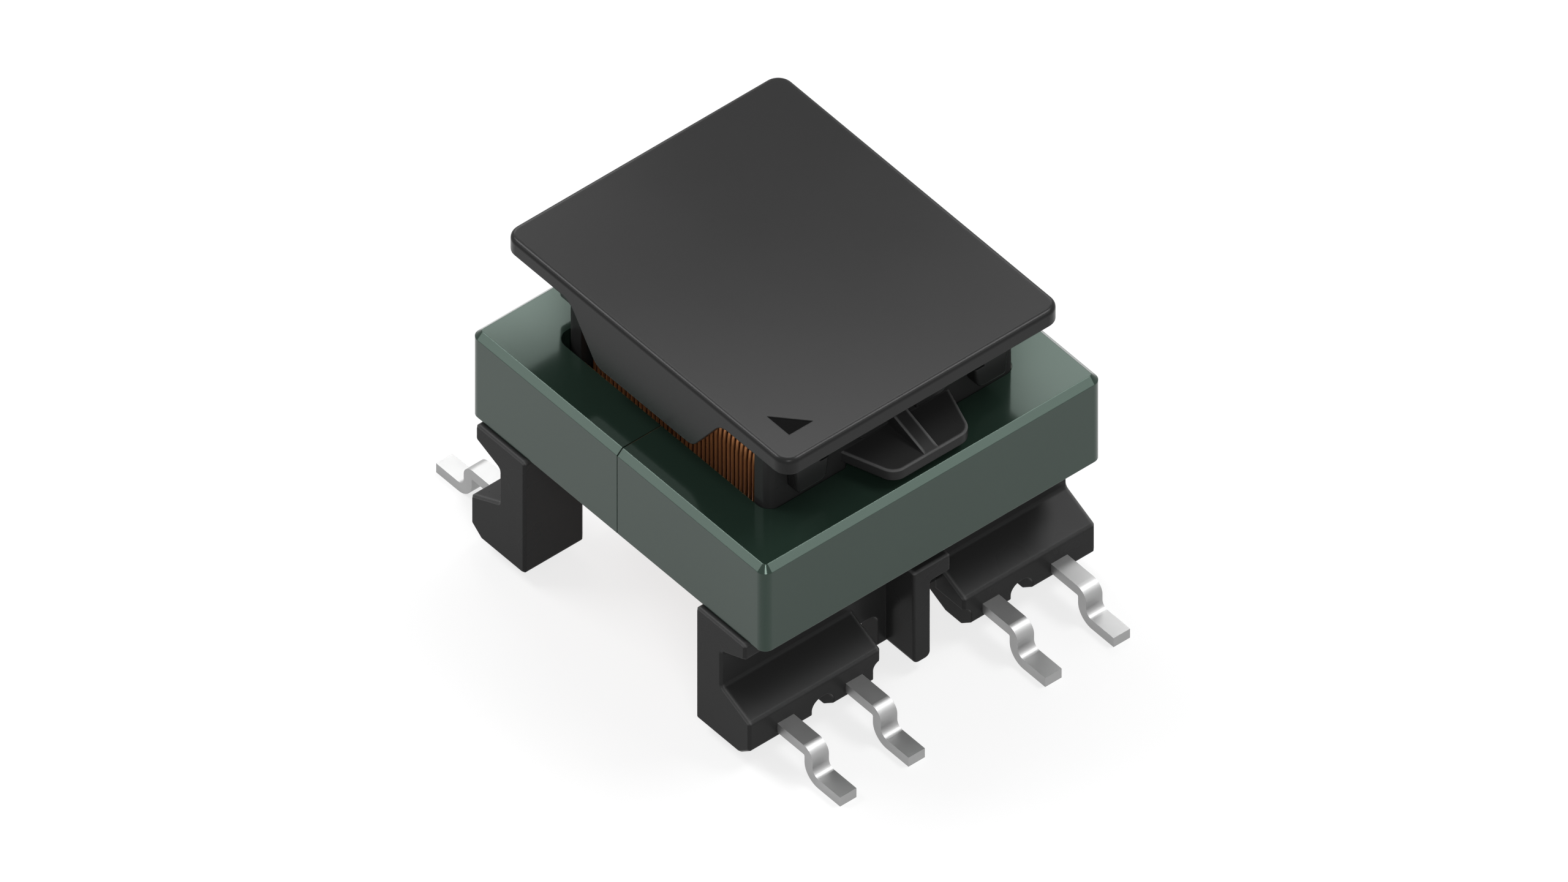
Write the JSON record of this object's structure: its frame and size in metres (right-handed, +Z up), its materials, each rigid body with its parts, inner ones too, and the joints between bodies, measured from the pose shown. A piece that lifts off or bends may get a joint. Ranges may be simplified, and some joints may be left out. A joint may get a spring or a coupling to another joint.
{
  "type": "pcb transformer",
  "caption": "Surface-mount transformer with a two-part E core, moulded coil former, copper windings, bent solder pins and a flat clip-on cap.",
  "frame": {"origin": "middle of the pin pattern, at the undersides of the solder feet", "axes": "+X the way the row of four pins points, +Y along that row, +Z up from the board"},
  "size_m": [0.0176, 0.0126, 0.0112],
  "materials": {
    "former_moulding": "moulded, low sheen",
    "cap_moulding": "moulded, low sheen",
    "ferrite": "coated, glossy, green-grey",
    "adhesive": "cured",
    "tinned_strip": "bright tin",
    "enamelled_copper": "clear enamel over copper",
    "insulation_tape": "film",
    "solder": "solidified, satin"
  },
  "bodies": {
    "root": {"coil_former": "former_moulding", "core_glue_left": "adhesive", "core_glue_right": "adhesive", "core_half_front": "ferrite", "core_half_rear": "ferrite", "cover_cap": "cap_moulding", "layer_tape": "insulation_tape", "lead_1": "enamelled_copper", "lead_2": "enamelled_copper", "lead_3": "enamelled_copper", "lead_4": "enamelled_copper", "lead_5": "enamelled_copper", "lead_6": "enamelled_copper", "pin_1": "tinned_strip", "pin_2": "tinned_strip", "pin_3": "tinned_strip", "pin_4": "tinned_strip", "pin_5": "tinned_strip", "pin_6": "tinned_strip", "primary_winding": "enamelled_copper", "secondary_winding": "enamelled_copper", "solder_joint_1": "solder", "solder_joint_2": "solder", "solder_joint_3": "solder", "solder_joint_4": "solder", "solder_joint_5": "solder", "solder_joint_6": "solder"}
  },
  "joints": []
}
